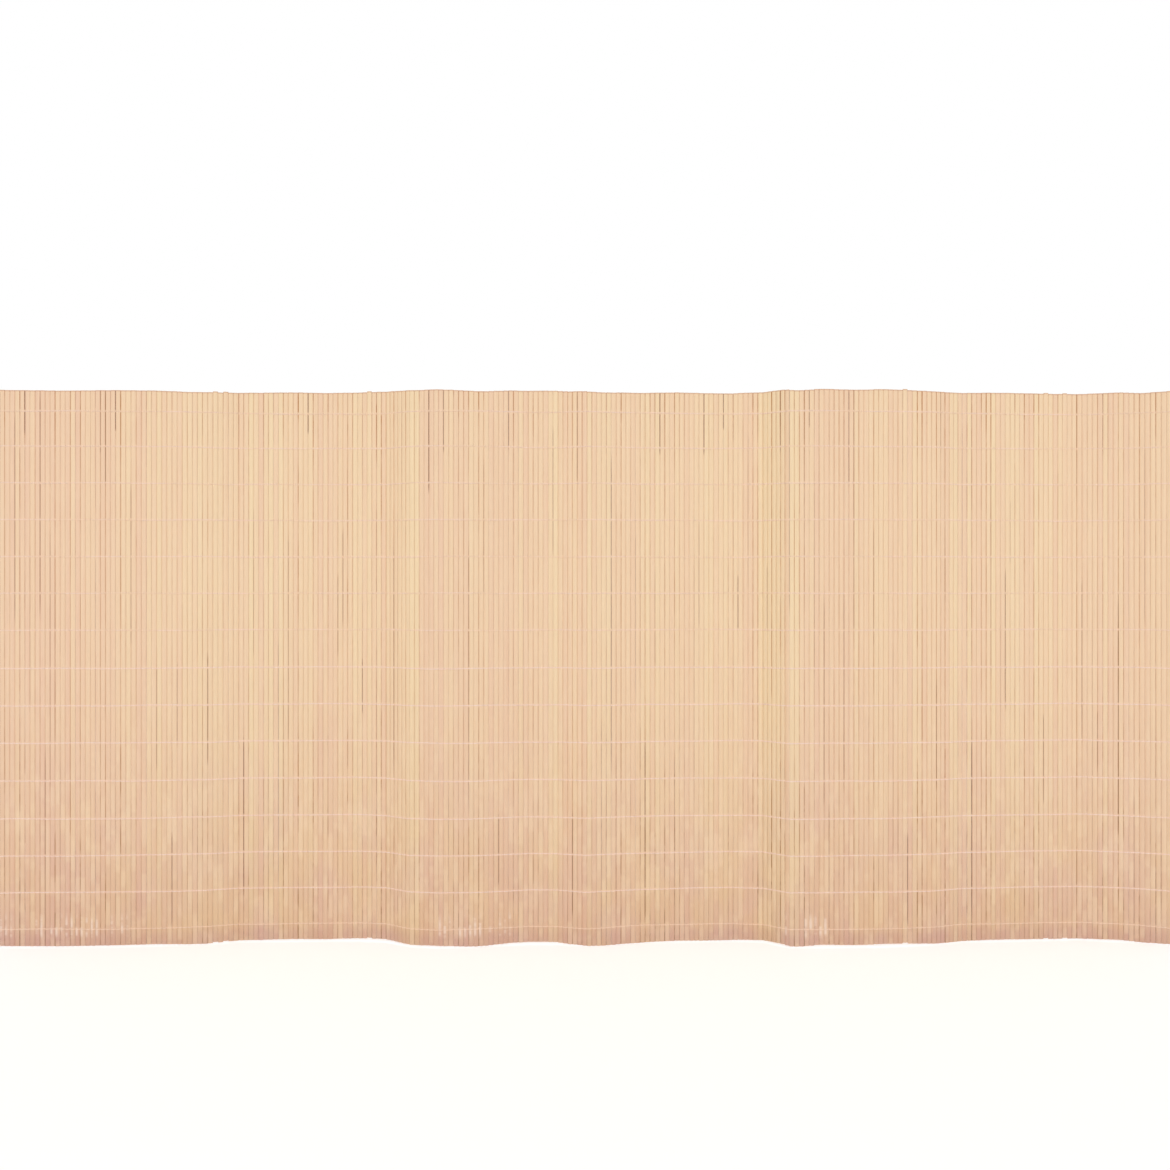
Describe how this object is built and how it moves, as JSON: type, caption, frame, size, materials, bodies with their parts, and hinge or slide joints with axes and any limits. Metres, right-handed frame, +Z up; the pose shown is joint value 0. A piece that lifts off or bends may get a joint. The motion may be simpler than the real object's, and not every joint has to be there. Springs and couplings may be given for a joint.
{
  "type": "bamboo fence panel",
  "caption": "Roll-out fence panel of upright hollow slats, lens-shaped in section, bound side by side by level rows of thin cord, standing in shallow folds.",
  "frame": {"origin": "on the ground, in the middle of the footprint of the folded panel", "axes": "+X along the panel, +Y through it towards the back, +Z up along the slats"},
  "size_m": [3.1872, 0.0774, 1.5],
  "materials": {
    "slat": "satin, moulded, bamboo cream",
    "cord": "twisted thread, pale cream"
  },
  "bodies": {
    "root": {"slats_01": "slat", "slats_02": "slat", "slats_03": "slat", "slats_04": "slat", "slats_05": "slat", "slats_06": "slat", "slats_07": "slat", "slats_08": "slat", "slats_09": "slat", "slats_10": "slat", "slats_11": "slat", "slats_12": "slat", "slats_13": "slat", "slats_14": "slat", "slats_15": "slat", "slats_16": "slat", "slats_17": "slat", "slats_18": "slat", "slats_19": "slat", "slats_20": "slat", "slats_21": "slat", "slats_22": "slat", "slats_23": "slat", "slats_24": "slat", "slats_25": "slat", "slats_26": "slat", "slats_27": "slat", "slats_28": "slat", "slats_29": "slat", "slats_30": "slat", "slats_31": "slat", "slats_32": "slat", "slats_33": "slat", "slats_34": "slat", "slats_35": "slat", "slats_36": "slat", "slats_37": "slat", "slats_38": "slat", "slats_39": "slat", "slats_40": "slat", "binding_row_01": "cord", "binding_row_02": "cord", "binding_row_03": "cord", "binding_row_04": "cord", "binding_row_05": "cord", "binding_row_06": "cord", "binding_row_07": "cord", "binding_row_08": "cord", "binding_row_09": "cord", "binding_row_10": "cord", "binding_row_11": "cord", "binding_row_12": "cord", "binding_row_13": "cord", "binding_row_14": "cord", "binding_row_15": "cord"}
  },
  "joints": []
}
